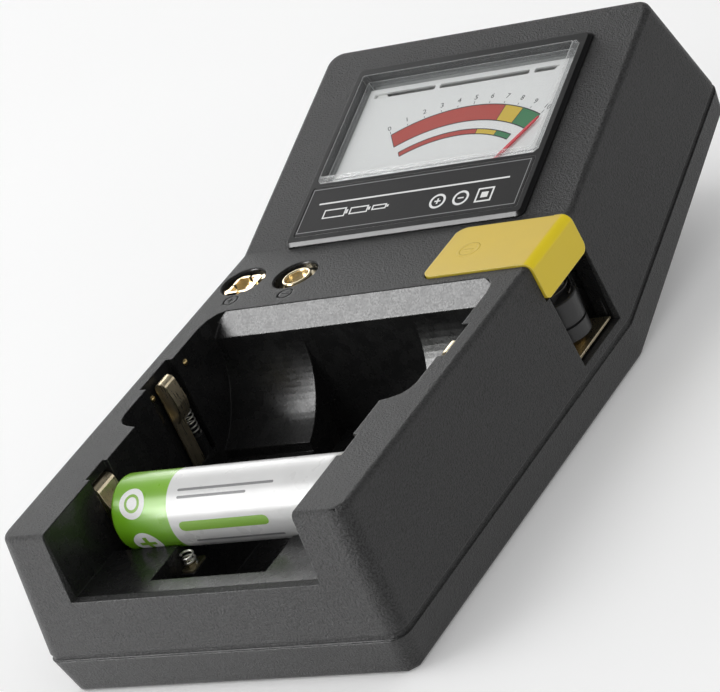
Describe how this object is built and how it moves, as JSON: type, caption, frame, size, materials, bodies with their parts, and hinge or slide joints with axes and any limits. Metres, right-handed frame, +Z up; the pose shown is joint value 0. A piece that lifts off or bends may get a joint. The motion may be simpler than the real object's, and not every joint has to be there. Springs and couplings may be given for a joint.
{
  "type": "battery tester",
  "caption": "Handheld analogue battery tester with an open cell bay, snap contacts, a sprung button-cell clamp and a moving-coil meter under a clear cover.",
  "frame": {"origin": "on the resting plane and the centre plane, straight below the front edge of the flat top", "axes": "+Z up, +Y from the open cell bay at the front to the meter at the back, +X across to the side with the button-cell clamp"},
  "size_m": [0.0806, 0.1573, 0.0492],
  "materials": {
    "case_black": "fine spark-eroded texture outside, smoother in the bay",
    "lever_yellow": "semi-matte moulded yellow",
    "plunger_grey": "satin moulded dark grey",
    "frame_black": "semi-gloss with a bright bevelled edge",
    "label_black": "printed black plate with thin pale lines",
    "lens_clear": "clear moulded acrylic with bevelled edges",
    "meter_white": "off-white moulding",
    "dial_white": "white printed plate",
    "pointer_red": "thin painted strip",
    "brass": "turned",
    "copper_wire": "enamelled copper winding",
    "aluminium": "pressed and deburred",
    "steel": "plain",
    "magnet_dark": "sintered magnet",
    "screw_steel": "zinc plated",
    "spring_bronze": "phosphor bronze strip",
    "spring_steel": "plated spring wire",
    "nickel": "nickel plated brass",
    "contact_strip": "nickel plated spring strip",
    "board_green": "solder-resist green laminate",
    "resistor_tan": "lacquered body with colour bands",
    "resistor_grey": "cement coated body",
    "trimmer_blue": "moulded blue",
    "carrier_black": "plain moulding",
    "wire_red": "flexible insulation",
    "wire_black": "flexible insulation",
    "wire_blue": "flexible insulation",
    "cell_label": "shrink sleeve, white with a lime-green band",
    "cell_metal": "plated can",
    "cell_seal": "insulating washer"
  },
  "bodies": {
    "case": {"board_screws": "screw_steel", "bridge_screws": "screw_steel", "button_plate": "contact_strip", "case_screws": "screw_steel", "channel_spring": "spring_steel", "channel_strip": "contact_strip", "circuit_board": "board_green", "clip_carrier": "carrier_black", "contact_rivets": "brass", "core_carrier": "brass", "core_magnet": "magnet_dark", "dial_plate": "dial_white", "dial_screws": "screw_steel", "display_frame": "frame_black", "hairspring_lower": "spring_bronze", "hairspring_upper": "spring_bronze", "jewel_screws": "brass", "label_plate": "label_black", "lever_spring": "spring_steel", "load_resistors": "resistor_grey", "lower_case": "case_black", "magnet_yoke": "steel", "meter_base": "meter_white", "meter_lens": "lens_clear", "meter_screws": "screw_steel", "movement_frame": "aluminium", "range_resistors": "resistor_tan", "snap_socket": "nickel", "snap_stud": "nickel", "trimmer_body": "trimmer_blue", "upper_bridge": "aluminium", "upper_case": "case_black", "wall_springs": "spring_steel", "wire_negative": "wire_black", "wire_plate": "wire_blue", "wire_positive": "wire_red"},
    "movement": {"pointer": "pointer_red", "balance_weight": "brass", "coil_former": "aluminium", "coil_winding": "copper_wire", "pivot_staffs": "steel"},
    "clamp": {"clamp_lever": "lever_yellow", "clamp_stem": "plunger_grey", "plunger": "plunger_grey", "plunger_tip": "brass"},
    "contact_front_left": {"leaf_front_left": "contact_strip"},
    "contact_front_right": {"leaf_front_right": "contact_strip"},
    "contact_rear_left": {"leaf_rear_left": "contact_strip"},
    "contact_rear_right": {"leaf_rear_right": "contact_strip"},
    "test_cell": {"cell_sleeve": "cell_label", "cell_can": "cell_metal", "cell_cap": "nickel", "cell_washer": "cell_seal"},
    "trimmer": {"trimmer_rotor": "brass"}
  },
  "joints": [
    {"name": "pointer_swing", "type": "hinge", "parent": "case", "child": "movement", "pos_m": [0.0029, 0.09544, 0.02798], "axis": [0, -0.2857, 0.9583], "range_deg": [-2, 68]},
    {"name": "clamp_lift", "type": "slide", "parent": "case", "child": "clamp", "axis": [0, 0, 1], "range_m": [0, 0.0055], "stiffness_N_per_m": 220, "springref_m": -0.004, "deforming": ["lever_spring"]},
    {"name": "contact_front_left_flex", "type": "hinge", "parent": "case", "child": "contact_front_left", "pos_m": [-0.031, 0.0206, 0.015], "axis": [0, 1, 0], "range_deg": [-4, 0], "stiffness_Nm_per_rad": 0.25},
    {"name": "contact_front_right_flex", "type": "hinge", "parent": "case", "child": "contact_front_right", "pos_m": [0.031, 0.0206, 0.015], "axis": [0, 1, 0], "range_deg": [0, 4], "stiffness_Nm_per_rad": 0.25},
    {"name": "contact_rear_left_flex", "type": "hinge", "parent": "case", "child": "contact_rear_left", "pos_m": [-0.0343, 0.05195, 0.0135], "axis": [0, 1, 0], "range_deg": [-1.6, 0], "stiffness_Nm_per_rad": 0.25},
    {"name": "contact_rear_right_flex", "type": "hinge", "parent": "case", "child": "contact_rear_right", "pos_m": [0.0343, 0.05195, 0.0135], "axis": [0, 1, 0], "range_deg": [0, 1.6], "stiffness_Nm_per_rad": 0.25},
    {"name": "cell_lift_out", "type": "slide", "parent": "case", "child": "test_cell", "axis": [0, 0, 1], "range_m": [0, 0.032]},
    {"name": "trimmer_turn", "type": "hinge", "parent": "case", "child": "trimmer", "pos_m": [-0.01425, 0.12359, 0.02928], "axis": [0, -0.2857, 0.9583], "range_deg": [-135, 135]}
  ]
}
